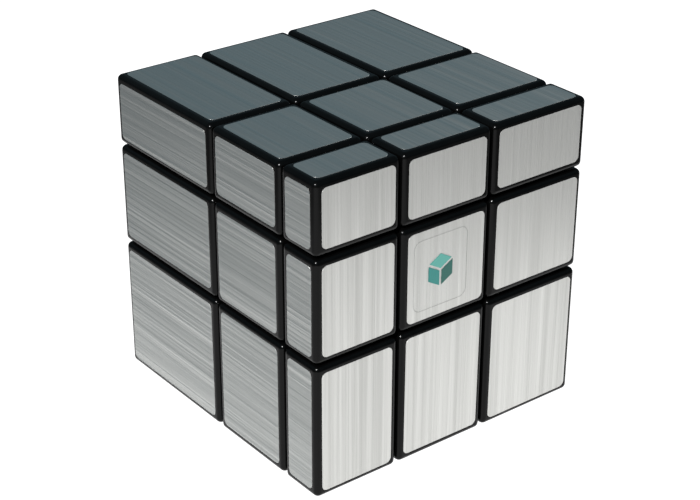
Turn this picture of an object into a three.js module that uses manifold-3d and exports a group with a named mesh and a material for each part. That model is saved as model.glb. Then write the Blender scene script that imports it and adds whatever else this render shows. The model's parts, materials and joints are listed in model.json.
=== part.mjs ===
// A mirror block cube: a 3 x 3 x 3 turning puzzle whose layers all differ in thickness, so that
// every block has its own size. Millimetres, +Z up, the origin under the middle of the closed cube.
//
// A six-armed core sits at the middle of the middle layers, not at the middle of the cube. Each arm
// carries one centre: a screw, washer and spring hold the centre's base, and a cap clips onto it.
// Twelve edges and eight corners hang between the centres by their feet. Every surface where two
// blocks slide is either a plane square to X, Y or Z or a sphere round the core's centre.

import * as THREE from "three";
import { RoundedBoxGeometry } from "three/addons/geometries/RoundedBoxGeometry.js";
import { mergeVertices, toCreasedNormals } from "three/addons/utils/BufferGeometryUtils.js";
import Module from "manifold-3d";

const wasm = await Module();
wasm.setup();

// The closed cube.
const SIDE = 57;
const MIDDLE_LAYER = 19; // the same along X, Y and Z
const LEFT_LAYER = 17;
const FRONT_LAYER = 9;
const TOP_LAYER = 13;
const LAYER_GAP = 0.4; // between neighbouring blocks
const FILLET = 1; // on every edge of a block

// The mechanism, measured from the core's centre. Layers part at a smaller distance inside each
// ball, so that corners reach under edges, and edges under centres.
const OUTER_BALL = 18.6;
const INNER_BALL = 15.5;
const FOOT_HOLLOW = 10.5; // the feet end on this ball
const BALL_GAP = 0.6; // between two spheres that slide on each other
const OUTER_PARTING = MIDDLE_LAYER / 2;
const STALK_PARTING = 7.4; // between the two balls
const FOOT_PARTING = 5.2; // inside the inner ball

// The stack along each arm, measured from the core's centre.
const FIT_GAP = 0.3; // between pieces that rest on each other
const HUB_RADIUS = 5;
const ARM_RADIUS = 3.2;
const ARM_END = 7;
const BOSS_RADIUS = 4.6;
const BOSS_BORE = 3.3;
const BOSS_FLOOR = 1.1;
const BASE_END = 16;
const SCREW_RADIUS = 1.3;
const SCREW_START = 4.3;
const HEAD_RADIUS = 2.6;
const HEAD_HEIGHT = 1.3;
const HEAD_ROUND = 0.4; // round the top of the head
const RECESS_DEPTH = 0.7;
const RECESS_WIDTH = 0.6;
const RECESS_LENGTH = 3;
const WASHER_RADIUS = 3;
const WASHER_HEIGHT = 0.5;
const WIRE_RADIUS = 0.3;
const COIL_RADIUS = 2.3; // to the middle of the wire
const COIL_TURNS = 4.5;
const PEG_RADIUS = 0.8;
const PEG_LENGTH = 1.3;
const PEG_PLACE = 5.2; // from the centre's axis, both ways

// Facets.
const BALL_STEPS = 24; // 15 degrees each, so that a quarter turn lays facet on facet
const ROUND_STEPS = 16;
const PEG_STEPS = 8;
const WIRE_SIDES = 5;
const WIRE_STEPS_PER_TURN = 10;
const CREASE = Math.PI / 6; // edges sharper than this are drawn sharp

const FAR = SIDE; // past every face of the cube

const BASE_HALF = STALK_PARTING - LAYER_GAP / 2;
const FLOOR_START = ARM_END + FIT_GAP;
const FLOOR_END = FLOOR_START + BOSS_FLOOR;
const HEAD_END = BASE_END - FIT_GAP / 2;
const HEAD_START = HEAD_END - HEAD_HEIGHT;
const WASHER_START = HEAD_START - FIT_GAP - WASHER_HEIGHT;
const CAP_START = BASE_END + FIT_GAP;

// From the core's centre to each face of the cube.
const REACH = {
  left: LEFT_LAYER + MIDDLE_LAYER / 2,
  front: FRONT_LAYER + MIDDLE_LAYER / 2,
  top: TOP_LAYER + MIDDLE_LAYER / 2,
};
REACH.right = SIDE - REACH.left;
REACH.back = SIDE - REACH.front;
REACH.bottom = SIDE - REACH.top;

const SIDES = { x: ["left", "right"], y: ["front", "back"], z: ["bottom", "top"] };
const UP = new THREE.Vector3(0, 0, 1);

// The side that a block lies towards along an axis, or undefined in the middle layer.
function sideOf(place, axis) {
  if (place[axis] === 0) return undefined;
  return SIDES[axis][place[axis] < 0 ? 0 : 1];
}

// Solids.

function solid(geometry) {
  const bare = geometry.clone();
  bare.deleteAttribute("normal");
  bare.deleteAttribute("uv");
  const merged = mergeVertices(bare, 1e-4);
  return new wasm.Manifold(
    new wasm.Mesh({
      numProp: 3,
      vertProperties: merged.attributes.position.array,
      triVerts: new Uint32Array(merged.index.array),
    }),
  );
}

function geometryOf(made) {
  const mesh = made.getMesh();
  const geometry = new THREE.BufferGeometry();
  geometry.setAttribute("position", new THREE.BufferAttribute(mesh.vertProperties, 3));
  geometry.setIndex(new THREE.BufferAttribute(mesh.triVerts, 1));
  return toCreasedNormals(geometry, CREASE);
}

function boxBetween(low, high) {
  const size = high.clone().sub(low);
  const middle = low.clone().add(high).multiplyScalar(0.5);
  return solid(new THREE.BoxGeometry(...size).translate(...middle));
}

function roundedBoxBetween(low, high) {
  const size = high.clone().sub(low);
  const middle = low.clone().add(high).multiplyScalar(0.5);
  return solid(new RoundedBoxGeometry(...size, 1, FILLET).translate(...middle));
}

function ball(radius, steps = BALL_STEPS) {
  const sphere = new THREE.SphereGeometry(radius, steps, steps / 2);
  return solid(sphere.rotateX(Math.PI / 2));
}

function post(radius, start, end, steps = ROUND_STEPS) {
  const cylinder = new THREE.CylinderGeometry(radius, radius, end - start, steps);
  return solid(cylinder.rotateX(Math.PI / 2).translate(0, 0, (start + end) / 2));
}

// A square column on +Z.
function column(half, start, end) {
  return boxBetween(new THREE.Vector3(-half, -half, start), new THREE.Vector3(half, half, end));
}

// The limits of the room that a block has where the layers part at the given distance. A place is
// -1, 0 or 1 along each axis, and reach says how far the block goes towards each side.
function roomOf(place, parting, reach) {
  const low = new THREE.Vector3();
  const high = new THREE.Vector3();
  for (const axis of ["x", "y", "z"]) {
    const side = sideOf(place, axis);
    const near = side ? parting + LAYER_GAP / 2 : LAYER_GAP / 2 - parting;
    const far = side ? reach[side] : parting - LAYER_GAP / 2;
    low[axis] = place[axis] < 0 ? -far : near;
    high[axis] = place[axis] < 0 ? -near : far;
  }
  return [low, high];
}

const FAR_EACH_WAY = Object.fromEntries(Object.keys(REACH).map((side) => [side, FAR]));

function cell(place, parting) {
  return boxBetween(...roomOf(place, parting, FAR_EACH_WAY));
}

// An edge or a corner: the block outside the outer ball, its stalk between the two balls, and its
// foot inside the inner one.
function blockWithFoot(place) {
  const stalkCell = cell(place, STALK_PARTING);
  const footCell = cell(place, FOOT_PARTING);
  const block = roundedBoxBetween(...roomOf(place, OUTER_PARTING, REACH));
  const outside = block.subtract(ball(OUTER_BALL + BALL_GAP / 2).subtract(stalkCell));
  const stalk = stalkCell.intersect(ball(OUTER_BALL - BALL_GAP / 2));
  const footsRoom = ball(INNER_BALL + BALL_GAP / 2).subtract(footCell);
  const foot = footCell.intersect(ball(INNER_BALL - BALL_GAP / 2));
  return outside.add(stalk).subtract(footsRoom).add(foot).subtract(ball(FOOT_HOLLOW));
}

function eachPeg(shape) {
  const pegs = [];
  for (const x of [-PEG_PLACE, PEG_PLACE])
    for (const y of [-PEG_PLACE, PEG_PLACE]) pegs.push(shape.translate([x, y, 0]));
  return pegs;
}

// The lower half of a centre, on +Z: a square plate that the edges' feet slide under, and a boss
// with a bore for the screw, washer and spring. Four blind holes take the cap's pegs.
function centreBase() {
  const plate = column(BASE_HALF, FLOOR_END, BASE_END).subtract(ball(INNER_BALL + BALL_GAP / 2));
  let base = plate.add(post(BOSS_RADIUS, FLOOR_START, BASE_END));
  base = base.subtract(post(BOSS_BORE, FLOOR_END, FAR));
  base = base.subtract(post(SCREW_RADIUS + FIT_GAP, 0, FAR));
  const hole = post(PEG_RADIUS + FIT_GAP, BASE_END - PEG_LENGTH, FAR, PEG_STEPS);
  for (const peg of eachPeg(hole)) base = base.subtract(peg);
  return geometryOf(base);
}

// The upper half of a centre, on +Z: the visible block, hollowed to sit over the base, with room
// for the edges' feet under its rim.
function centreCap(reach) {
  const place = { x: 0, y: 0, z: 1 };
  const block = roundedBoxBetween(...roomOf(place, OUTER_PARTING, { top: reach }));
  const feetRoom = ball(OUTER_BALL + BALL_GAP / 2).subtract(column(BASE_HALF, 0, FAR));
  let cap = block.subtract(feetRoom).subtract(column(BASE_HALF + FIT_GAP, 0, CAP_START));
  const peg = post(PEG_RADIUS, CAP_START - PEG_LENGTH, CAP_START + FIT_GAP, PEG_STEPS);
  for (const each of eachPeg(peg)) cap = cap.add(each);
  return geometryOf(cap);
}

// A pan-head screw with a cross recess, on +Z.
function screw() {
  const profile = [
    [0, SCREW_START],
    [SCREW_RADIUS, SCREW_START],
    [SCREW_RADIUS, HEAD_START],
    [HEAD_RADIUS, HEAD_START],
    [HEAD_RADIUS, HEAD_END - HEAD_ROUND],
    [HEAD_RADIUS - HEAD_ROUND, HEAD_END],
    [0, HEAD_END],
  ].map(([radius, height]) => new THREE.Vector2(radius, height));
  let made = solid(new THREE.LatheGeometry(profile, ROUND_STEPS).rotateX(Math.PI / 2));
  for (const turn of [0, Math.PI / 2]) {
    const slot = new THREE.BoxGeometry(RECESS_LENGTH, RECESS_WIDTH, 2 * RECESS_DEPTH);
    made = made.subtract(solid(slot.rotateZ(turn).translate(0, 0, HEAD_END)));
  }
  return geometryOf(made);
}

function washer() {
  const profile = [
    [SCREW_RADIUS + FIT_GAP, WASHER_START],
    [WASHER_RADIUS, WASHER_START],
    [WASHER_RADIUS, WASHER_START + WASHER_HEIGHT],
    [SCREW_RADIUS + FIT_GAP, WASHER_START + WASHER_HEIGHT],
    [SCREW_RADIUS + FIT_GAP, WASHER_START],
  ].map(([radius, height]) => new THREE.Vector2(radius, height));
  return geometryOf(solid(new THREE.LatheGeometry(profile, ROUND_STEPS).rotateX(Math.PI / 2)));
}

class Coil extends THREE.Curve {
  getPoint(t, target = new THREE.Vector3()) {
    const low = FLOOR_END + FIT_GAP + WIRE_RADIUS;
    const high = WASHER_START - FIT_GAP - WIRE_RADIUS;
    const angle = 2 * Math.PI * COIL_TURNS * t;
    const height = low + (high - low) * t;
    return target.set(COIL_RADIUS * Math.cos(angle), COIL_RADIUS * Math.sin(angle), height);
  }
}

function spring() {
  const corners = [];
  for (let i = 0; i < WIRE_SIDES; i++) {
    const angle = (2 * Math.PI * i) / WIRE_SIDES;
    corners.push(new THREE.Vector2(Math.cos(angle), Math.sin(angle)).multiplyScalar(WIRE_RADIUS));
  }
  const steps = COIL_TURNS * WIRE_STEPS_PER_TURN;
  const path = new Coil();
  return geometryOf(
    solid(new THREE.ExtrudeGeometry(new THREE.Shape(corners), { steps, extrudePath: path })),
  );
}

// The six-armed core, with a blind screw hole in each arm.
function coreSpider() {
  const holeStart = SCREW_START - FIT_GAP;
  const arm = post(ARM_RADIUS, 0, ARM_END);
  const hole = post(SCREW_RADIUS + FIT_GAP, holeStart, FAR);
  const turns = [
    [0, 0, 0],
    [90, 0, 0],
    [180, 0, 0],
    [270, 0, 0],
    [0, 90, 0],
    [0, 270, 0],
  ];
  let made = ball(HUB_RADIUS, ROUND_STEPS);
  for (const turn of turns) made = made.add(arm.rotate(turn));
  for (const turn of turns) made = made.subtract(hole.rotate(turn));
  return geometryOf(made);
}

// Materials.

const glossBlack = () =>
  new THREE.MeshStandardMaterial({ color: 0x0c0c0d, roughness: 0.18, metalness: 0 });
const innerBlack = () =>
  new THREE.MeshStandardMaterial({ color: 0x1a1a1b, roughness: 0.45, metalness: 0 });
const coreWhite = () =>
  new THREE.MeshStandardMaterial({ color: 0xd9d7cf, roughness: 0.5, metalness: 0 });
const steel = () =>
  new THREE.MeshStandardMaterial({ color: 0xb4b6b8, roughness: 0.3, metalness: 1 });

// The cube. Everything inside is placed from the core's centre.

const cube = new THREE.Group();
const mechanism = new THREE.Group();
mechanism.position.set(REACH.left - SIDE / 2, REACH.front - SIDE / 2, REACH.bottom);
cube.add(mechanism);

function addPiece(name, geometry, material, direction = UP) {
  const piece = new THREE.Mesh(geometry, material());
  piece.name = name;
  piece.quaternion.setFromUnitVectors(UP, direction);
  mechanism.add(piece);
}

addPiece("core_spider", coreSpider(), coreWhite);

const shared = { base: centreBase(), screw: screw(), washer: washer(), spring: spring() };

for (const z of [1, 0, -1])
  for (const y of [-1, 0, 1])
    for (const x of [-1, 0, 1]) {
      const place = new THREE.Vector3(x, y, z);
      const sides = ["z", "y", "x"].map((axis) => sideOf(place, axis)).filter(Boolean);
      if (sides.length === 1) {
        const [side] = sides;
        addPiece(`centre_base_${side}`, shared.base, innerBlack, place);
        addPiece(`centre_cap_${side}`, centreCap(REACH[side]), glossBlack, place);
        addPiece(`screw_${side}`, shared.screw, steel, place);
        addPiece(`washer_${side}`, shared.washer, steel, place);
        addPiece(`spring_${side}`, shared.spring, steel, place);
      }
      if (sides.length > 1) {
        const kind = sides.length === 2 ? "edge" : "corner";
        addPiece(`${kind}_${sides.join("_")}`, geometryOf(blockWithFoot(place)), glossBlack);
      }
    }

export default cube;
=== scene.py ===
# A mirror block cube: the looks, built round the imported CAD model. Lengths are in metres.
import json
import math
import random

import bmesh
import bpy
from mathutils import Matrix, Vector


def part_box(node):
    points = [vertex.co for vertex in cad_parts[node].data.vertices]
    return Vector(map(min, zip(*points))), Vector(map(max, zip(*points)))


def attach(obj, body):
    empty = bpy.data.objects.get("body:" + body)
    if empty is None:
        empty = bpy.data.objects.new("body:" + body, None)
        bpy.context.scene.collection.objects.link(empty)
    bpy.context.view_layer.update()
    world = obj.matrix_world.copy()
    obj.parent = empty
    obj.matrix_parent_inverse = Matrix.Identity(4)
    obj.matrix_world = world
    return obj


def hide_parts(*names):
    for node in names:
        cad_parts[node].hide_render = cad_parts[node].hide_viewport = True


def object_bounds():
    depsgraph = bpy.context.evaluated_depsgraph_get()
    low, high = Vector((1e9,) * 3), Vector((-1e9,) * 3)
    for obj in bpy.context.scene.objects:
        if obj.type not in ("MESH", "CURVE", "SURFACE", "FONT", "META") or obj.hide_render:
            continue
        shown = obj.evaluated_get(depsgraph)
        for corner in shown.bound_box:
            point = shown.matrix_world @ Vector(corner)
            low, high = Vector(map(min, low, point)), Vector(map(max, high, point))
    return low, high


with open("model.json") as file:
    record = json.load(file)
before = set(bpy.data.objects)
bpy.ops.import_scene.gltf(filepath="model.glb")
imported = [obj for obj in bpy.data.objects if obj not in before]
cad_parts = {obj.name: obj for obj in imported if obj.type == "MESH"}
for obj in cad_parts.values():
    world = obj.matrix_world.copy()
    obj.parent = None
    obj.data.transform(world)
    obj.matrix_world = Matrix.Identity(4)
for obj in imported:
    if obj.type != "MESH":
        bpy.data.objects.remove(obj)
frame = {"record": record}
cad_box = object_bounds()


# ---------------------------------------------------------------------------------------------
# The core: a six-armed spider moulded in natural white nylon. It sits off the middle of the
# closed cube, where the three middle layers cross, and takes a screw in the end of each arm.

MM = 0.001
core_low, core_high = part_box("core_spider")
CORE = (core_low + core_high) / 2
ARM_END = (core_high.z - core_low.z) / 2
ARM_RADIUS = 3.2 * MM
HUB_RADIUS = 5 * MM
SCREW_HOLE_RADIUS = 1.6 * MM
SCREW_HOLE_START = 4 * MM
ROUND_SEGMENTS = 48
CREASE = math.radians(35)

UP = Vector((0, 0, 1))
DIRECTIONS = {
    "left": Vector((-1, 0, 0)),
    "right": Vector((1, 0, 0)),
    "front": Vector((0, -1, 0)),
    "back": Vector((0, 1, 0)),
    "bottom": Vector((0, 0, -1)),
    "top": Vector((0, 0, 1)),
}
BODY_OF = {
    node: body for body, nodes in frame["record"]["behaviour"]["bodies"].items() for node in nodes
}


def linear(hex_colour):
    """An sRGB hex colour as linear red, green, blue and alpha."""
    channels = [int(hex_colour[i : i + 2], 16) / 255 for i in (1, 3, 5)]
    return [c / 12.92 if c <= 0.04045 else ((c + 0.055) / 1.055) ** 2.4 for c in channels] + [1]


def add_node(tree, kind, inputs=None, **settings):
    """A shader node with its settings. An input is given an output to link, or a plain value."""
    node = tree.nodes.new("ShaderNode" + kind)
    for name, value in settings.items():
        setattr(node, name, value)
    for name, value in (inputs or {}).items():
        if isinstance(value, bpy.types.NodeSocket):
            tree.links.new(value, node.inputs[name])
        else:
            node.inputs[name].default_value = value
    return node


def new_material(name):
    """A material with an empty node tree, and its output node."""
    material = bpy.data.materials.new(name)
    material.use_nodes = True
    tree = material.node_tree
    tree.nodes.clear()
    return material, tree, tree.nodes.new("ShaderNodeOutputMaterial")


def as_mesh(bm):
    """The bmesh as a mesh whose faces point outwards."""
    bmesh.ops.recalc_face_normals(bm, faces=bm.faces)
    mesh = bpy.data.meshes.new("shape")
    bm.to_mesh(mesh)
    bm.free()
    return mesh


def rod(radius, start, end, segments=ROUND_SEGMENTS):
    """A cylinder on +Z between two heights."""
    bm = bmesh.new()
    bmesh.ops.create_cone(
        bm, cap_ends=True, segments=segments, radius1=radius, radius2=radius, depth=end - start
    )
    bmesh.ops.translate(bm, vec=(0, 0, (start + end) / 2), verts=bm.verts)
    return as_mesh(bm)


def ball(radius, rings=ROUND_SEGMENTS // 2):
    """A sphere about the origin."""
    bm = bmesh.new()
    bmesh.ops.create_uvsphere(bm, u_segments=2 * rings, v_segments=rings, radius=radius)
    return as_mesh(bm)


def combine(operation, mesh, *tools):
    """mesh after each tool is added (UNION), cut away (DIFFERENCE) or kept in common (INTERSECT)."""
    for tool in tools:
        worked = bpy.data.objects.new("worked", mesh)
        cutter = bpy.data.objects.new("cutter", tool)
        for item in (worked, cutter):
            bpy.context.scene.collection.objects.link(item)
        boolean = worked.modifiers.new("boolean", "BOOLEAN")
        boolean.operation = operation
        boolean.solver = "EXACT"
        boolean.object = cutter
        graph = bpy.context.evaluated_depsgraph_get()
        mesh = bpy.data.meshes.new_from_object(worked.evaluated_get(graph))
        for item in (worked, cutter):
            bpy.data.objects.remove(item)
    return mesh


def facing(mesh, direction):
    """A copy of a mesh made on +Z, turned to face a direction."""
    turned = mesh.copy()
    turned.transform(UP.rotation_difference(direction).to_matrix().to_4x4())
    return turned


def place(name, mesh, material, node):
    """A finished piece, shifted from the core's centre to its place, that stands for a CAD node."""
    mesh.transform(Matrix.Translation(CORE))
    mesh.name = name
    mesh.materials.clear()
    mesh.materials.append(material)
    mesh.shade_smooth()
    mesh.set_sharp_from_angle(angle=CREASE)
    piece = bpy.data.objects.new(name, mesh)
    bpy.context.scene.collection.objects.link(piece)
    shading = piece.modifiers.new("even_shading", "WEIGHTED_NORMAL")
    shading.keep_sharp = True
    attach(piece, BODY_OF[node])
    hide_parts(node)


# Natural nylon 6: off-white, satin, with a cloudy grain of a few millimetres from the mould.
def moulded_nylon():
    material, tree, output = new_material("moulded_nylon")
    where = add_node(tree, "TexCoord").outputs["Object"]
    cloud = add_node(tree, "TexNoise", {"Vector": where, "Scale": 1 / (3 * MM), "Detail": 3})
    colour = add_node(tree, "ValToRGB", {"Fac": cloud.outputs["Fac"]})
    colour.color_ramp.elements[0].color = linear("#CFCCC2")
    colour.color_ramp.elements[1].color = linear("#E6E4DC")
    grain = add_node(tree, "TexNoise", {"Vector": where, "Scale": 1 / (0.3 * MM)})
    bump = add_node(
        tree, "Bump", {"Height": grain.outputs["Fac"], "Strength": 0.2, "Distance": 0.02 * MM}
    )
    surface = add_node(
        tree,
        "BsdfPrincipled",
        {
            "Base Color": colour.outputs["Color"],
            "Roughness": 0.45,
            "IOR": 1.53,
            "Normal": bump.outputs["Normal"],
        },
    )
    tree.links.new(surface.outputs["BSDF"], output.inputs["Surface"])
    return material


core = ball(HUB_RADIUS)
for direction in DIRECTIONS.values():
    core = combine("UNION", core, facing(rod(ARM_RADIUS, 0, ARM_END), direction))
for direction in DIRECTIONS.values():
    hole = rod(SCREW_HOLE_RADIUS, SCREW_HOLE_START, 2 * ARM_END)
    core = combine("DIFFERENCE", core, facing(hole, direction))
place("moulded_core", core, moulded_nylon(), "core_spider")


# ---------------------------------------------------------------------------------------------
# Six centre bases, moulded in black ABS with a satin tool finish. Each one turns on a screw, and
# the edges' feet slide under its square plate. Four blind holes take the pegs of the centre's cap.

SLIDING_GAP = 0.4 * MM  # between neighbouring blocks
FIT_GAP = 0.3 * MM  # between pieces that rest on each other
INNER_BALL = 15.5 * MM
OUTER_BALL = 18.6 * MM
BALL_GAP = 0.6 * MM  # between two spheres that slide on each other
STALK_PARTING = 7.4 * MM  # where the layers part between the two balls
BASE_END = 16 * MM
BASE_HALF = STALK_PARTING - SLIDING_GAP / 2
BASE_ROUNDING = 0.25 * MM
SMALL_ROUNDING = 0.05 * MM
BOSS_RADIUS = 4.6 * MM
BOSS_BORE = 3.3 * MM
BOSS_FLOOR = 1.1 * MM
FLOOR_START = ARM_END + FIT_GAP
FLOOR_END = FLOOR_START + BOSS_FLOOR
PEG_RADIUS = 0.8 * MM
PEG_LENGTH = 1.3 * MM
PEG_PLACE = 5.2 * MM
PEG_SEGMENTS = 20


def block(low, high, rounding, segments):
    """A box between two corners with every edge rounded."""
    bm = bmesh.new()
    bmesh.ops.create_cube(bm, size=1)
    bmesh.ops.scale(bm, vec=high - low, verts=bm.verts)
    bmesh.ops.translate(bm, vec=(low + high) / 2, verts=bm.verts)
    bmesh.ops.bevel(
        bm,
        geom=bm.edges[:],
        offset=rounding,
        segments=segments,
        affect="EDGES",
        profile=0.5,
        material=-1,
    )
    return as_mesh(bm)


def column(half, start, end, rounding=SMALL_ROUNDING, segments=1):
    """A square column on +Z between two heights."""
    low, high = Vector((-half, -half, start)), Vector((half, half, end))
    return block(low, high, rounding, segments)


def at_each_peg(shape):
    """Copies of a mesh at the four places where a cap is pegged to its base."""
    copies = []
    for x in (-PEG_PLACE, PEG_PLACE):
        for y in (-PEG_PLACE, PEG_PLACE):
            copy = shape.copy()
            copy.transform(Matrix.Translation((x, y, 0)))
            copies.append(copy)
    return copies


# ABS from a spark-eroded tool: near black, satin, with a fine even texture.
def satin_abs():
    material, tree, output = new_material("moulded_satin_abs")
    where = add_node(tree, "TexCoord").outputs["Object"]
    texture = add_node(tree, "TexNoise", {"Vector": where, "Scale": 1 / (0.15 * MM), "Detail": 2})
    cloud = add_node(tree, "TexNoise", {"Vector": where, "Scale": 1 / (4 * MM)})
    colour = add_node(tree, "ValToRGB", {"Fac": cloud.outputs["Fac"]})
    colour.color_ramp.elements[0].color = linear("#151516")
    colour.color_ramp.elements[1].color = linear("#1D1D1E")
    bump = add_node(
        tree, "Bump", {"Height": texture.outputs["Fac"], "Strength": 0.3, "Distance": 0.01 * MM}
    )
    surface = add_node(
        tree,
        "BsdfPrincipled",
        {
            "Base Color": colour.outputs["Color"],
            "Roughness": 0.42,
            "IOR": 1.53,
            "Normal": bump.outputs["Normal"],
        },
    )
    tree.links.new(surface.outputs["BSDF"], output.inputs["Surface"])
    return material


plate = column(BASE_HALF, FLOOR_END, BASE_END, BASE_ROUNDING, 2)
base = combine("DIFFERENCE", plate, ball(INNER_BALL + BALL_GAP / 2))
base = combine("UNION", base, rod(BOSS_RADIUS, FLOOR_START, BASE_END - BASE_ROUNDING))
base = combine(
    "DIFFERENCE",
    base,
    rod(BOSS_BORE, FLOOR_END, 2 * BASE_END),
    rod(SCREW_HOLE_RADIUS, 0, 2 * BASE_END),
    *at_each_peg(rod(PEG_RADIUS + FIT_GAP, BASE_END - PEG_LENGTH, 2 * BASE_END, PEG_SEGMENTS)),
)
inner_black = satin_abs()
for side, direction in DIRECTIONS.items():
    mesh = facing(base, direction)
    place(f"moulded_base_{side}", mesh, inner_black, f"centre_base_{side}")


# ---------------------------------------------------------------------------------------------
# A screw, a washer and a spring on each arm. The pan-head screws are cold-headed and zinc plated,
# the washers are punched from strip, and the springs are wound from drawn steel wire.

SCREW_RADIUS = 1.3 * MM
SCREW_START = 4.3 * MM
HEAD_RADIUS = 2.6 * MM
HEAD_HEIGHT = 1.3 * MM
HEAD_ROUND = 0.45 * MM
HEAD_STEPS = 6
HEAD_END = BASE_END - FIT_GAP / 2
HEAD_START = HEAD_END - HEAD_HEIGHT
RECESS_DEPTH = 0.7 * MM
RECESS_WIDTH = 0.6 * MM
RECESS_LENGTH = 3 * MM
THREAD_PITCH = 0.8 * MM
THREAD_DEPTH = 0.18 * MM
WASHER_RADIUS = 3 * MM
WASHER_HEIGHT = 0.5 * MM
WASHER_EDGE = 0.08 * MM
WASHER_START = HEAD_START - FIT_GAP - WASHER_HEIGHT
WIRE_RADIUS = 0.3 * MM
COIL_RADIUS = 2.3 * MM
COIL_TURNS = 4.5
WIRE_SEGMENTS = 12
STEPS_PER_TURN = 36
WELD = 0.001 * MM  # vertices nearer than this are joined


def spun(points, segments=ROUND_SEGMENTS):
    """A closed round shape: an outline of radius and height, spun about Z."""
    bm = bmesh.new()
    corners = [bm.verts.new((radius, 0, height)) for radius, height in points]
    edges = [bm.edges.new(pair) for pair in zip(corners, corners[1:])]
    bmesh.ops.spin(
        bm,
        geom=corners + edges,
        cent=(0, 0, 0),
        axis=(0, 0, 1),
        angle=2 * math.pi,
        steps=segments,
        use_merge=True,
    )
    bmesh.ops.remove_doubles(bm, verts=bm.verts, dist=WELD)
    return as_mesh(bm)


def screw_outline():
    """Shank with thread crests, then the pan head, from tip to top."""
    points = [(0, SCREW_START), (SCREW_RADIUS - THREAD_DEPTH, SCREW_START)]
    height = SCREW_START + THREAD_PITCH / 2
    while height < ARM_END:
        points.append((SCREW_RADIUS - THREAD_DEPTH, height - THREAD_PITCH / 3))
        points.append((SCREW_RADIUS, height))
        points.append((SCREW_RADIUS - THREAD_DEPTH, height + THREAD_PITCH / 3))
        height += THREAD_PITCH
    points += [(SCREW_RADIUS, ARM_END + FIT_GAP), (SCREW_RADIUS, HEAD_START)]
    points += [(HEAD_RADIUS, HEAD_START)]
    for step in range(HEAD_STEPS + 1):
        angle = math.pi / 2 * step / HEAD_STEPS
        radius = HEAD_RADIUS - HEAD_ROUND * (1 - math.cos(angle))
        points.append((radius, HEAD_END - HEAD_ROUND * (1 - math.sin(angle))))
    return points + [(0, HEAD_END)]


def wound_spring():
    """A length of wire wound round +Z: a circle swept along a helix, with its two ends closed."""
    low = FLOOR_END + FIT_GAP + WIRE_RADIUS
    rise = WASHER_START - FIT_GAP - WIRE_RADIUS - low
    bm = bmesh.new()
    bmesh.ops.create_circle(bm, cap_ends=True, segments=WIRE_SEGMENTS, radius=WIRE_RADIUS)
    upright = Matrix.Rotation(math.pi / 2, 4, "X")
    bmesh.ops.transform(
        bm, matrix=Matrix.Translation((COIL_RADIUS, 0, low)) @ upright, verts=bm.verts
    )
    start = bm.faces[:]
    steps = int(COIL_TURNS * STEPS_PER_TURN)
    bmesh.ops.spin(
        bm,
        geom=bmesh.ops.duplicate(bm, geom=start)["geom"],
        cent=(0, 0, 0),
        axis=(0, 0, 1),
        dvec=(0, 0, rise / steps),
        angle=2 * math.pi * COIL_TURNS,
        steps=steps,
    )
    bmesh.ops.remove_doubles(bm, verts=bm.verts, dist=WELD)
    return as_mesh(bm)


# Bright zinc over steel, with faint turning marks round the axis of each part.
def zinc_plate():
    material, tree, output = new_material("zinc_plated_steel")
    where = add_node(tree, "TexCoord").outputs["Object"]
    marks = add_node(tree, "TexNoise", {"Vector": where, "Scale": 1 / (0.25 * MM), "Detail": 4})
    rough = add_node(
        tree,
        "MapRange",
        {"Value": marks.outputs["Fac"], "To Min": 0.22, "To Max": 0.38},
    )
    colour = add_node(tree, "ValToRGB", {"Fac": marks.outputs["Fac"]})
    colour.color_ramp.elements[0].color = linear("#B9BCBD")
    colour.color_ramp.elements[1].color = linear("#D3D5D4")
    surface = add_node(
        tree,
        "BsdfPrincipled",
        {
            "Base Color": colour.outputs["Color"],
            "Metallic": 1,
            "Roughness": rough.outputs["Result"],
        },
    )
    tree.links.new(surface.outputs["BSDF"], output.inputs["Surface"])
    return material


screw = spun(screw_outline())
for turn in (0, 90):
    slot = block(
        Vector((-RECESS_LENGTH / 2, -RECESS_WIDTH / 2, HEAD_END - RECESS_DEPTH)),
        Vector((RECESS_LENGTH / 2, RECESS_WIDTH / 2, 2 * HEAD_END)),
        SMALL_ROUNDING,
        1,
    )
    slot.transform(Matrix.Rotation(math.radians(turn), 4, "Z"))
    screw = combine("DIFFERENCE", screw, slot)

washer = spun(
    [
        (SCREW_HOLE_RADIUS, WASHER_START + WASHER_EDGE),
        (SCREW_HOLE_RADIUS + WASHER_EDGE, WASHER_START),
        (WASHER_RADIUS - WASHER_EDGE, WASHER_START),
        (WASHER_RADIUS, WASHER_START + WASHER_EDGE),
        (WASHER_RADIUS, WASHER_START + WASHER_HEIGHT - WASHER_EDGE),
        (WASHER_RADIUS - WASHER_EDGE, WASHER_START + WASHER_HEIGHT),
        (SCREW_HOLE_RADIUS + WASHER_EDGE, WASHER_START + WASHER_HEIGHT),
        (SCREW_HOLE_RADIUS, WASHER_START + WASHER_HEIGHT - WASHER_EDGE),
        (SCREW_HOLE_RADIUS, WASHER_START + WASHER_EDGE),
    ]
)
spring = wound_spring()
zinc = zinc_plate()
for side, direction in DIRECTIONS.items():
    place(f"headed_screw_{side}", facing(screw, direction), zinc, f"screw_{side}")
    place(f"punched_washer_{side}", facing(washer, direction), zinc, f"washer_{side}")
    place(f"wound_spring_{side}", facing(spring, direction), zinc, f"spring_{side}")


# ---------------------------------------------------------------------------------------------
# Six centre caps, moulded in black ABS from a polished tool. Each one is pegged onto its base and
# is the visible block in the middle of a side, with room under its rim for the edges' feet.

MIDDLE_HALF = (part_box("centre_cap_top")[1].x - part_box("centre_cap_top")[0].x) / 2
LAYER_PARTING = MIDDLE_HALF + SLIDING_GAP / 2
CAP_START = BASE_END + FIT_GAP
FILLET = 1 * MM
FILLET_SEGMENTS = 6
SPHERE_RINGS = 32

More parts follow.
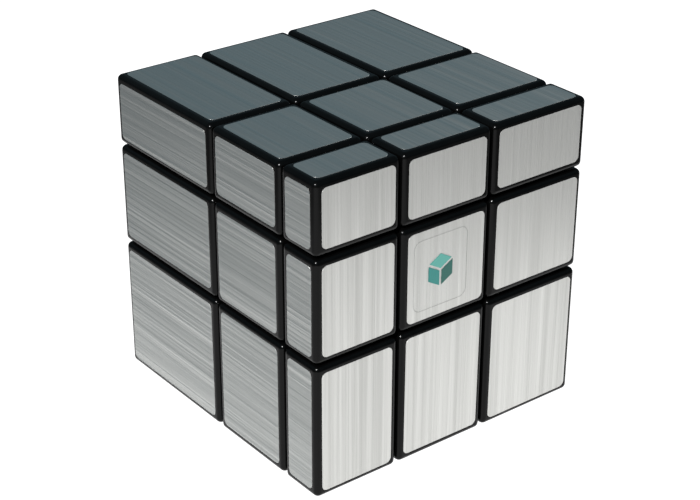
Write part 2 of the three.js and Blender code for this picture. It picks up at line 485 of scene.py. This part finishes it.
# How far the closed cube reaches from the core's centre towards each side.
REACH = {
    "left": CORE.x - cad_box[0].x,
    "right": cad_box[1].x - CORE.x,
    "front": CORE.y - cad_box[0].y,
    "back": cad_box[1].y - CORE.y,
    "bottom": CORE.z - cad_box[0].z,
    "top": cad_box[1].z - CORE.z,
}


# ABS from a polished tool: black and glossy, with a trace of orange peel and of flow marks.
def polished_abs():
    material, tree, output = new_material("moulded_polished_abs")
    where = add_node(tree, "TexCoord").outputs["Object"]
    flow = add_node(
        tree, "TexNoise", {"Vector": where, "Scale": 1 / (2.5 * MM), "Detail": 4, "Distortion": 0.6}
    )
    rough = add_node(
        tree, "MapRange", {"Value": flow.outputs["Fac"], "To Min": 0.16, "To Max": 0.26}
    )
    colour = add_node(tree, "ValToRGB", {"Fac": flow.outputs["Fac"]})
    colour.color_ramp.elements[0].color = linear("#010101")
    colour.color_ramp.elements[1].color = linear("#040404")
    peel = add_node(tree, "TexNoise", {"Vector": where, "Scale": 1 / (0.8 * MM), "Detail": 1})
    bump = add_node(
        tree, "Bump", {"Height": peel.outputs["Fac"], "Strength": 0.1, "Distance": 0.01 * MM}
    )
    surface = add_node(
        tree,
        "BsdfPrincipled",
        {
            "Base Color": colour.outputs["Color"],
            "Roughness": rough.outputs["Result"],
            "IOR": 1.5,
            "Specular IOR Level": 0.13,
            "Normal": bump.outputs["Normal"],
        },
    )
    tree.links.new(surface.outputs["BSDF"], output.inputs["Surface"])
    return material


def centre_cap(reach):
    """A centre's cap on +Z, going as far as the given distance from the core's centre."""
    low = Vector((-MIDDLE_HALF, -MIDDLE_HALF, MIDDLE_HALF + SLIDING_GAP))
    high = Vector((MIDDLE_HALF, MIDDLE_HALF, reach))
    around_base = combine(
        "DIFFERENCE",
        ball(OUTER_BALL + BALL_GAP / 2, SPHERE_RINGS),
        column(BASE_HALF, 0, 2 * OUTER_BALL),
    )
    cap = combine(
        "DIFFERENCE",
        block(low, high, FILLET, FILLET_SEGMENTS),
        around_base,
        column(BASE_HALF + FIT_GAP, 0, CAP_START),
    )
    peg = rod(PEG_RADIUS, CAP_START - PEG_LENGTH, CAP_START + FIT_GAP, PEG_SEGMENTS)
    return combine("UNION", cap, *at_each_peg(peg))


gloss_black = polished_abs()
for side, direction in DIRECTIONS.items():
    cap = facing(centre_cap(REACH[side]), direction)
    place(f"moulded_cap_{side}", cap, gloss_black, f"centre_cap_{side}")


# ---------------------------------------------------------------------------------------------
# Twelve edges and eight corners, in the same polished black ABS. Each is a block with a stalk and
# a foot that reaches under its neighbours. Layers part at planes square to X, Y and Z, which lie
# nearer the core inside each of two balls, so every block slides past the next at any turn.

FOOT_PARTING = 5.2 * MM
FOOT_HOLLOW = 10.5 * MM
FOOT_ROUNDING = 0.35 * MM
FOOT_SEGMENTS = 3
AXIS_SIDES = (("left", "right"), ("front", "back"), ("bottom", "top"))


def room_of(where, parting, reach):
    """The low and high corners of a block's room. where is -1, 0 or 1 along X, Y and Z."""
    low, high = Vector(), Vector()
    for axis in range(3):
        if where[axis] == 0:
            near, far = SLIDING_GAP / 2 - parting, parting - SLIDING_GAP / 2
            low[axis], high[axis] = near, far
        else:
            near = parting + SLIDING_GAP / 2
            far = reach[AXIS_SIDES[axis][where[axis] > 0]]
            low[axis], high[axis] = (near, far) if where[axis] > 0 else (-far, -near)
    return low, high


PAST_EVERY_SIDE = {side: 1.2 * max(REACH.values()) for side in REACH}


def block_with_foot(where):
    """An edge or a corner about the core's centre: block, stalk and foot in one moulding."""
    stalk_room = block(*room_of(where, STALK_PARTING, PAST_EVERY_SIDE), FOOT_ROUNDING, FOOT_SEGMENTS)
    foot_room = block(*room_of(where, FOOT_PARTING, PAST_EVERY_SIDE), FOOT_ROUNDING, FOOT_SEGMENTS)
    outer_cut = combine("DIFFERENCE", ball(OUTER_BALL + BALL_GAP / 2, SPHERE_RINGS), stalk_room)
    inner_cut = combine("DIFFERENCE", ball(INNER_BALL + BALL_GAP / 2, SPHERE_RINGS), foot_room)
    outside = block(*room_of(where, LAYER_PARTING, REACH), FILLET, FILLET_SEGMENTS)
    outside = combine("DIFFERENCE", outside, outer_cut)
    stalk = combine("INTERSECT", stalk_room, ball(OUTER_BALL - BALL_GAP / 2, SPHERE_RINGS))
    foot = combine("INTERSECT", foot_room, ball(INNER_BALL - BALL_GAP / 2, SPHERE_RINGS))
    whole = combine("DIFFERENCE", combine("UNION", outside, stalk), inner_cut)
    whole = combine("UNION", whole, foot)
    return combine("DIFFERENCE", whole, ball(FOOT_HOLLOW, SPHERE_RINGS))


def sides_of(where):
    """The sides of the cube that a block shows on, top or bottom first and left or right last."""
    return [AXIS_SIDES[axis][where[axis] > 0] for axis in (2, 1, 0) if where[axis] != 0]


PLACES = [(x, y, z) for z in (1, 0, -1) for y in (-1, 0, 1) for x in (-1, 0, 1) if x or y or z]


def node_of(where):
    """The name of the CAD node at a place: its kind, then the sides it shows on."""
    kind = ("centre_cap", "edge", "corner")[len(sides_of(where)) - 1]
    return "_".join([kind, *sides_of(where)])


for where in PLACES:
    if len(sides_of(where)) > 1:
        node = node_of(where)
        place(f"moulded_{node}", block_with_foot(where), gloss_black, node)


# ---------------------------------------------------------------------------------------------
# Fifty-four faces of self-adhesive mirror foil, one on each visible face of a block: brushed,
# polyester-backed aluminium with rounded corners, pressed onto the flat between the fillets.
# The brushing runs upright on the front and back, and along Y on the other four sides.

FOIL_THICKNESS = 0.05 * MM
FOIL_SUNK = 0.02 * MM  # pressed into its adhesive, so that no gap shows
FOIL_MARGIN = 1.2 * MM  # from the block's own edge to the foil's
FOIL_CORNER = 1.0 * MM
FOIL_CORNER_SEGMENTS = 8
FOIL_RIM = 0.01 * MM
STUCK_OFF_BY = 0.12 * MM
TURNED_OFF_BY = math.radians(0.3)
HAIRLINE = 0.2 * MM
STREAK = 0.8 * MM
BAND = 2.5 * MM
HAIRLINE_LENGTH = 40 * MM
STREAK_LENGTH = 90 * MM
BAND_LENGTH = 180 * MM
HAIRLINE_SHARE = 0.45  # of the hairlines in their mix with the streaks
BAND_SHARE = 0.25  # of the bands in their mix with both
STREAK_HEIGHT = 0.23 * MM
TINT_FROM = 0.3  # the marks' values over which the tint changes
TINT_TO = 0.7
FINISH_FROM = 0.28  # the marks' values over which the roughness changes
FINISH_TO = 0.72
ROUGHEST = 0.75
SMOOTHEST = 0.46
SHEET_STEP_ACROSS = 310 * MM  # how far on in the brushed sheet each next block's foils are cut
SHEET_STEP_ALONG = 170 * MM
SHEET_STEP_FRONT = 50 * MM
SHEET_STEP_TOP = 90 * MM

BRUSHED_ALONG = {
    "left": Vector((0, 1, 0)),
    "right": Vector((0, 1, 0)),
    "front": Vector((0, 0, 1)),
    "back": Vector((0, 0, 1)),
    "bottom": Vector((0, 1, 0)),
    "top": Vector((0, 1, 0)),
}


def flat_plate(width, length, thickness, corner, rim):
    """A thin plate with rounded corners and a softened rim. Its underside is at height 0."""
    bm = bmesh.new()
    bmesh.ops.create_grid(bm, x_segments=1, y_segments=1, size=0.5)
    bmesh.ops.scale(bm, vec=(width, length, 1), verts=bm.verts)
    bmesh.ops.bevel(
        bm,
        geom=bm.verts[:],
        offset=corner,
        segments=FOIL_CORNER_SEGMENTS,
        affect="VERTICES",
        profile=0.5,
        material=-1,
    )
    made = bmesh.ops.extrude_face_region(bm, geom=bm.faces[:])
    raised = [item for item in made["geom"] if isinstance(item, bmesh.types.BMVert)]
    bmesh.ops.translate(bm, vec=(0, 0, thickness), verts=raised)
    upper_rim = [e for e in bm.edges if e.verts[0] in raised and e.verts[1] in raised]
    bmesh.ops.bevel(
        bm,
        geom=upper_rim,
        offset=rim,
        segments=2,
        affect="EDGES",
        profile=0.5,
        material=-1,
    )
    bmesh.ops.recalc_face_normals(bm, faces=bm.faces)
    return bm


def onto_side(bm, side, middle):
    """Lays a plate on a side of the cube: its X goes across the brushing and its Y along it."""
    along = BRUSHED_ALONG[side]
    out = DIRECTIONS[side]
    across = along.cross(out)
    turn = Matrix((across, along, out)).transposed().to_4x4()
    bmesh.ops.transform(bm, matrix=Matrix.Translation(middle) @ turn, verts=bm.verts)


def nudge(bm, chance):
    """Moves and turns a plate a little in its own plane, as a hand that sticks it down does."""
    shift = Vector((chance.uniform(-1, 1), chance.uniform(-1, 1), 0)) * STUCK_OFF_BY
    turn = Matrix.Rotation(chance.uniform(-1, 1) * TURNED_OFF_BY, 4, "Z")
    bmesh.ops.transform(bm, matrix=Matrix.Translation(shift) @ turn, verts=bm.verts)


def finish_plate(name, bm, material, body):
    """A finished thin piece that rides on a body and stands for no CAD node."""
    mesh = bpy.data.meshes.new(name)
    bm.to_mesh(mesh)
    bm.free()
    mesh.materials.append(material)
    mesh.shade_smooth()
    mesh.set_sharp_from_angle(angle=CREASE)
    piece = bpy.data.objects.new(name, mesh)
    bpy.context.scene.collection.objects.link(piece)
    shading = piece.modifiers.new("even_shading", "WEIGHTED_NORMAL")
    shading.keep_sharp = True
    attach(piece, body)


def map_plate(bm, shift):
    """A UV map in metres, U across the brushing and V along it, shifted to other brush lines."""
    layer = bm.loops.layers.uv.new("brushing")
    for face in bm.faces:
        for loop in face.loops:
            loop[layer].uv = (loop.vert.co.x + shift[0], loop.vert.co.y + shift[1])


# Brushed aluminium foil: mirror bright along the brushing and spread wide across it, with long
# hairlines, broader streaks, and slow bands. The hairlines are drawn 0.2 mm wide, coarser than
# real ones, which would not show.
def brushed_foil():
    material, tree, output = new_material("brushed_aluminium_foil")
    place_on_foil = add_node(tree, "UVMap", uv_map="brushing").outputs["UV"]

    def lines(width, length, detail):
        stretched = add_node(
            tree, "Mapping", {"Vector": place_on_foil, "Scale": (1 / width, 1 / length, 1)}
        )
        noise = add_node(
            tree,
            "TexNoise",
            {"Vector": stretched.outputs["Vector"], "Scale": 1, "Detail": detail},
            noise_dimensions="2D",
        )
        return noise.outputs["Fac"]

    hairlines = lines(HAIRLINE, HAIRLINE_LENGTH, 2)
    streaks = lines(STREAK, STREAK_LENGTH, 3)
    bands = lines(BAND, BAND_LENGTH, 1)
    both = add_node(tree, "Mix", {"Factor": HAIRLINE_SHARE, "A": streaks, "B": hairlines})
    marks = add_node(tree, "Mix", {"Factor": BAND_SHARE, "A": both.outputs["Result"], "B": bands})
    colour = add_node(tree, "ValToRGB", {"Fac": marks.outputs["Result"]})
    colour.color_ramp.elements[0].position = TINT_FROM
    colour.color_ramp.elements[0].color = linear("#D1D1CE")
    colour.color_ramp.elements[1].position = TINT_TO
    colour.color_ramp.elements[1].color = linear("#D9D9D6")
    rough = add_node(
        tree,
        "MapRange",
        {
            "Value": marks.outputs["Result"],
            "From Min": FINISH_FROM,
            "From Max": FINISH_TO,
            "To Min": ROUGHEST,
            "To Max": SMOOTHEST,
        },
    )
    bump = add_node(tree, "Bump", {"Height": streaks, "Strength": 1, "Distance": STREAK_HEIGHT})
    across = add_node(tree, "Tangent", direction_type="UV_MAP", uv_map="brushing")
    surface = add_node(
        tree,
        "BsdfPrincipled",
        {
            "Base Color": colour.outputs["Color"],
            "Metallic": 1,
            "Roughness": rough.outputs["Result"],
            "Anisotropic": 0.85,
            "Tangent": across.outputs["Tangent"],
            "Normal": bump.outputs["Normal"],
        },
    )
    tree.links.new(surface.outputs["BSDF"], output.inputs["Surface"])
    return material


foil = brushed_foil()
hand = random.Random(5)
for index, where in enumerate(PLACES):
    low, high = room_of(where, LAYER_PARTING, REACH)
    for side in sides_of(where):
        out = DIRECTIONS[side]
        along = BRUSHED_ALONG[side]
        across = along.cross(out)
        size = high - low
        width = abs(size.dot(across)) - 2 * FOIL_MARGIN
        length = abs(size.dot(along)) - 2 * FOIL_MARGIN
        plate = flat_plate(width, length, FOIL_THICKNESS, FOIL_CORNER, FOIL_RIM)
        sheet_along = SHEET_STEP_FRONT * abs(out.y) + SHEET_STEP_TOP * abs(out.z)
        map_plate(plate, (SHEET_STEP_ACROSS * index, SHEET_STEP_ALONG * index + sheet_along))
        nudge(plate, hand)
        middle = (low + high) / 2
        middle += out * (REACH[side] - middle.dot(out) - FOIL_SUNK)
        onto_side(plate, side, CORE + middle)
        node = node_of(where)
        finish_plate(f"foil_{side}_of_{node}", plate, foil, BODY_OF[node])


# ---------------------------------------------------------------------------------------------
# The label on the front centre: a clear polyester film with rounded corners, stuck over the foil,
# and a small mark printed on it. The mark is a plain drawing of a cube, with no lettering.

FILM_WIDTH = 11.4 * MM
FILM_LENGTH = 13 * MM
FILM_THICKNESS = 0.06 * MM
FILM_CORNER = 1.5 * MM
FILM_RIM = 0.02 * MM
CUT_EDGE = 0.12 * MM
FILM_SUNK = 0.005 * MM
FILM_ASIDE = -1.1 * MM
FILM_HAZE = 0.025
# how opaque the painted shade on the film's cut edge is
CUT_EDGE_SHADE = 0.3
MARK_SIDE = 2.7 * MM
MARK_LINE = 0.25 * MM
MARK_THICKNESS = 0.02 * MM
THIN_INK = 0.85  # how dark the ink is where the mesh leaves it thin, against its full colour


# Clear polyester film: thin and colourless, so that little more than its cut edge shows. The cut
# edge is marked by an attribute and given painted shade, a less clear dark grey that stands in for
# the light the edge bends, as the film is too thin to refract.
def clear_film():
    material, tree, output = new_material("clear_polyester_film")
    where = add_node(tree, "TexCoord").outputs["Object"]
    ripple = add_node(tree, "TexNoise", {"Vector": where, "Scale": 1 / (3 * MM), "Detail": 1})
    bump = add_node(
        tree, "Bump", {"Height": ripple.outputs["Fac"], "Strength": 0.2, "Distance": 0.01 * MM}
    )
    cut_edge = add_node(tree, "Attribute", attribute_name="cut_edge").outputs["Fac"]
    # The cut edge gets painted shade: dark grey and less clear, in place of the light the edge
    # bends.
    colour = add_node(tree, "ValToRGB", {"Fac": cut_edge})
    colour.color_ramp.elements[0].color = linear("#E4E4E2")
    colour.color_ramp.elements[1].color = linear("#70706E")
    # the film's own faint haze inside, and the painted shade's opacity on the cut edge
    haze_and_edge_shade = add_node(
        tree, "MapRange", {"Value": cut_edge, "To Min": FILM_HAZE, "To Max": CUT_EDGE_SHADE}
    )
    surface = add_node(
        tree,
        "BsdfPrincipled",
        {
            "Base Color": colour.outputs["Color"],
            "Roughness": 0.1,
            "IOR": 1.5,
            "Alpha": haze_and_edge_shade.outputs["Result"],
            "Normal": bump.outputs["Normal"],
        },
    )
    tree.links.new(surface.outputs["BSDF"], output.inputs["Surface"])
    return material


def mark_cut_edge(bm):
    """Insets the film's upper face and marks all the faces outside it as the cut edge."""
    cut_edge = bm.faces.layers.float.new("cut_edge")
    upper = max(bm.faces, key=lambda face: face.calc_center_median().z)
    for face in bm.faces:
        face[cut_edge] = 1
    rim = bmesh.ops.inset_region(bm, faces=[upper], thickness=CUT_EDGE)["faces"]
    for face in bm.faces:
        if abs(face.normal.z) > 0.9 and face not in rim:
            face[cut_edge] = 0
    for face in rim:
        face[cut_edge] = 1


# Screen-printed ink: an even, satin coat with a faint mesh grain at 0.1 mm.
def screen_ink(name, colour):
    material, tree, output = new_material(name)
    where = add_node(tree, "TexCoord").outputs["Object"]
    grain = add_node(tree, "TexNoise", {"Vector": where, "Scale": 1 / (0.1 * MM), "Detail": 1})
    coat = add_node(tree, "ValToRGB", {"Fac": grain.outputs["Fac"]})
    coat.color_ramp.elements[0].color = [THIN_INK * value for value in linear(colour)[:3]] + [1]
    coat.color_ramp.elements[1].color = linear(colour)
    surface = add_node(
        tree,
        "BsdfPrincipled",
        {"Base Color": coat.outputs["Color"], "Roughness": 0.4, "IOR": 1.5},
    )
    tree.links.new(surface.outputs["BSDF"], output.inputs["Surface"])
    return material


def rhombus(turned):
    """One of a drawn cube's three faces: a flat rhombus above the origin, turned about it."""
    bm = bmesh.new()
    thirty = math.radians(30)
    first = Vector((math.cos(thirty), math.sin(thirty), 0)) * MARK_SIDE
    second = Vector((-math.cos(thirty), math.sin(thirty), 0)) * MARK_SIDE
    clear = (first + second).normalized() * MARK_LINE
    corners = [clear + v for v in (Vector(), first, first + second, second)]
    bm.faces.new([bm.verts.new(corner) for corner in corners])
    made = bmesh.ops.extrude_face_region(bm, geom=bm.faces[:])
    raised = [item for item in made["geom"] if isinstance(item, bmesh.types.BMVert)]
    bmesh.ops.translate(bm, vec=(0, 0, MARK_THICKNESS), verts=raised)
    bmesh.ops.rotate(bm, matrix=Matrix.Rotation(turned, 3, "Z"), verts=bm.verts)
    bmesh.ops.recalc_face_normals(bm, faces=bm.faces)
    return bm


low, high = room_of((0, -1, 0), LAYER_PARTING, REACH)
foil_top = REACH["front"] - FOIL_SUNK + FOIL_THICKNESS
label_middle = CORE + Vector(((low.x + high.x) / 2 + FILM_ASIDE, -foil_top, (low.z + high.z) / 2))
film = flat_plate(FILM_WIDTH, FILM_LENGTH, FILM_THICKNESS, FILM_CORNER, FILM_RIM)
map_plate(film, (0, 0))
mark_cut_edge(film)
out = DIRECTIONS["front"]
onto_side(film, "front", label_middle - out * FILM_SUNK)
finish_plate("label_film", film, clear_film(), BODY_OF["centre_cap_front"])
for name, colour, turned in (
    ("upper", "#4E9288", 0),
    ("left", "#24736D", 120),
    ("right", "#165249", 240),
):
    ink = screen_ink(f"screen_ink_{name}", colour)
    face = rhombus(math.radians(turned))
    map_plate(face, (0, 0))
    onto_side(face, "front", label_middle + out * (FILM_THICKNESS - 2 * FILM_SUNK))
    body = BODY_OF["centre_cap_front"]
    finish_plate(f"printed_mark_{name}", face, ink, body)


# ---------------------------------------------------------------------------------------------
# The stage: a pale back-lit table in a dim room, and one small lamp. The table is brightest under
# and behind the cube, as a light box is. The camera has a long lens and looks down a little.

FLOOR_RADIUS = 4
FLOOR_DROP = 0.05 * MM
AZIMUTH = math.radians(-38.09)
ELEVATION = math.radians(27.04)
ROLL = math.radians(0.21)
DISTANCE = 304.8 * MM
AIM_RIGHT = 0.45 * MM
AIM_UP = -2.64 * MM
LENS = 88.6
SENSOR = 36
LIT_BEHIND = 220 * MM
LIT_WIDTH = 93 * MM
LIT_LENGTH = 420 * MM
LIT_FADE = 1.4  # how many times the lit patch's size its light reaches
LIT_GLOW = 1.22
FAR_GLOW = 0.24
LAMP_AZIMUTH = math.radians(-54)
LAMP_ELEVATION = math.radians(43)
LAMP_DISTANCE = 900 * MM
LAMP_SIZE = 40 * MM
LAMP_POWER = 18  # watts
HORIZON = 0.01  # this and the next three are heights in the room: sines of the angle above level
LOWER_WALL = 0.12
UPPER_WALL = 0.42
OVERHEAD = 0.9
CLIP_START = 10 * MM
CLIP_END = 20

floor_bm = bmesh.new()
bmesh.ops.create_circle(floor_bm, cap_ends=True, segments=2 * ROUND_SEGMENTS, radius=FLOOR_RADIUS)
bmesh.ops.translate(floor_bm, vec=(0, 0, -FLOOR_DROP - FOIL_THICKNESS), verts=floor_bm.verts)
floor = bpy.data.objects.new("table", as_mesh(floor_bm))
bpy.context.scene.collection.objects.link(floor)


# Opal acrylic lit from below: plain white, brightest over a long patch under and behind
# the cube.
def opal_acrylic():
    material, tree, output = new_material("opal_acrylic")
    where = add_node(tree, "TexCoord").outputs["Object"]
    behind = Vector((-math.sin(AZIMUTH), math.cos(AZIMUTH), 0)) * LIT_BEHIND
    in_patch = add_node(
        tree,
        "Mapping",
        {
            "Vector": where,
            "Location": behind,
            "Rotation": (0, 0, AZIMUTH),
            "Scale": (LIT_FADE * LIT_WIDTH, LIT_FADE * LIT_LENGTH, 1),
        },
        vector_type="TEXTURE",
    )
    glow = add_node(
        tree, "TexGradient", {"Vector": in_patch.outputs["Vector"]}, gradient_type="SPHERICAL"
    )
    strength = add_node(
        tree,
        "MapRange",
        {
            "Value": glow.outputs["Fac"],
            "From Max": 1 - 1 / LIT_FADE,
            "To Min": FAR_GLOW,
            "To Max": LIT_GLOW,
        },
        interpolation_type="SMOOTHSTEP",
    )
    surface = add_node(
        tree,
        "BsdfPrincipled",
        {
            "Base Color": linear("#2C2C2C"),
            "Roughness": 0.6,
            "Specular IOR Level": 0.2,
            "Emission Color": linear("#FFFFFF"),
            "Emission Strength": strength.outputs["Result"],
        },
    )
    tree.links.new(surface.outputs["BSDF"], output.inputs["Surface"])
    return material


floor.data.materials.append(opal_acrylic())

world = bpy.data.worlds.new("room")
bpy.context.scene.world = world
world.use_nodes = True
tree = world.node_tree
tree.nodes.clear()
sky_direction = add_node(tree, "TexCoord").outputs["Generated"]
height = add_node(tree, "SeparateXYZ", {"Vector": sky_direction}).outputs["Z"]
room = add_node(tree, "ValToRGB", {"Fac": height})
room.color_ramp.elements[0].position = HORIZON
room.color_ramp.elements[0].color = linear("#5A686F")
room.color_ramp.elements[1].position = LOWER_WALL
room.color_ramp.elements[1].color = linear("#3E5058")
upper_wall = room.color_ramp.elements.new(UPPER_WALL)
upper_wall.color = linear("#667C85")
overhead = room.color_ramp.elements.new(OVERHEAD)
overhead.color = linear("#556A73")
backdrop = add_node(tree, "Background", {"Color": room.outputs["Color"], "Strength": 1})
world_output = tree.nodes.new("ShaderNodeOutputWorld")
tree.links.new(backdrop.outputs["Background"], world_output.inputs["Surface"])

cube_middle = (cad_box[0] + cad_box[1]) / 2


def lamp(name, azimuth, elevation, distance, size, power):
    """A round area lamp at a direction from the cube's middle, aimed at it."""
    data = bpy.data.lights.new(name, "AREA")
    data.shape = "DISK"
    data.size = size
    data.energy = power
    light = bpy.data.objects.new(name, data)
    bpy.context.scene.collection.objects.link(light)
    level = math.cos(elevation)
    back = Vector((math.sin(azimuth) * level, -math.cos(azimuth) * level, math.sin(elevation)))
    light.location = cube_middle + back * distance
    light.rotation_mode = "QUATERNION"
    light.rotation_quaternion = (-back).to_track_quat("-Z", "Y")


lamp("key_lamp", LAMP_AZIMUTH, LAMP_ELEVATION, LAMP_DISTANCE, LAMP_SIZE, LAMP_POWER)

camera_data = bpy.data.cameras.new("camera")
camera_data.sensor_width = SENSOR
camera_data.lens = LENS
camera_data.clip_start = CLIP_START
camera_data.clip_end = CLIP_END
camera = bpy.data.objects.new("camera", camera_data)
bpy.context.scene.collection.objects.link(camera)
aim = (
    Matrix.Rotation(AZIMUTH, 4, "Z")
    @ Matrix.Rotation(math.pi / 2 - ELEVATION, 4, "X")
    @ Matrix.Rotation(ROLL, 4, "Z")
)
camera.matrix_world = (
    Matrix.Translation(cube_middle) @ aim @ Matrix.Translation((AIM_RIGHT, AIM_UP, DISTANCE))
)
bpy.context.scene.camera = camera
bpy.context.scene.view_settings.view_transform = "Standard"
